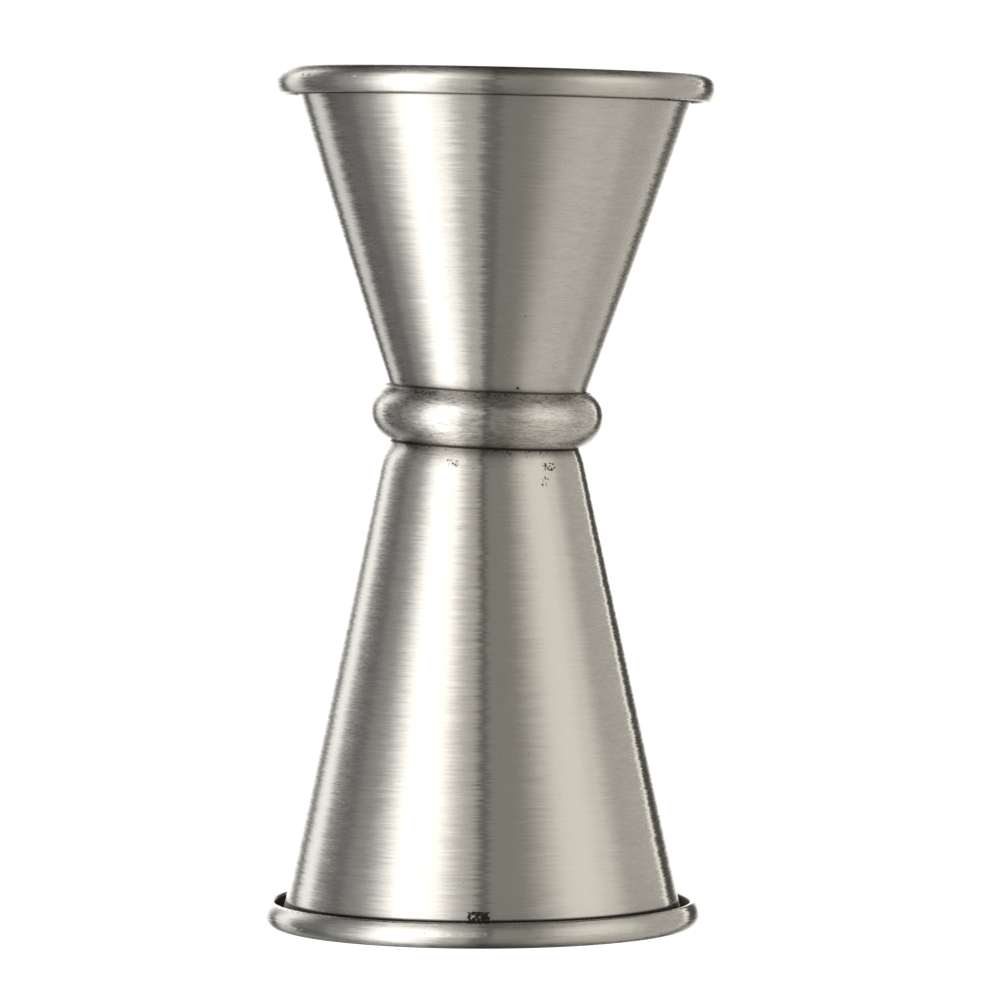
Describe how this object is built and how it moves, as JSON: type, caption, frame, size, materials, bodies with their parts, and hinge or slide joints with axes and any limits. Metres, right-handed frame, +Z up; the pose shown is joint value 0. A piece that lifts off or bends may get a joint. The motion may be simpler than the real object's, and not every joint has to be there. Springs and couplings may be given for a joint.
{
  "type": "bar jigger",
  "caption": "Double-ended steel bar jigger: two cone-shaped measuring cups joined base to base, with curled rims and a rounded waist band.",
  "frame": {"origin": "centre of the large cup's rim, on the surface the jigger stands on", "axes": "+Z up along the large cup's axis; the small cup leans slightly towards +X; -Y is the pictured side"},
  "size_m": [0.0501, 0.049, 0.0955],
  "materials": {
    "cup_steel": "brushed around the axis",
    "band_steel": "brushed around the axis",
    "solder": "dull"
  },
  "bodies": {
    "root": {"upper_cup": "cup_steel", "lower_cup": "cup_steel", "waist_band": "band_steel", "solder_disc": "solder"}
  },
  "joints": []
}
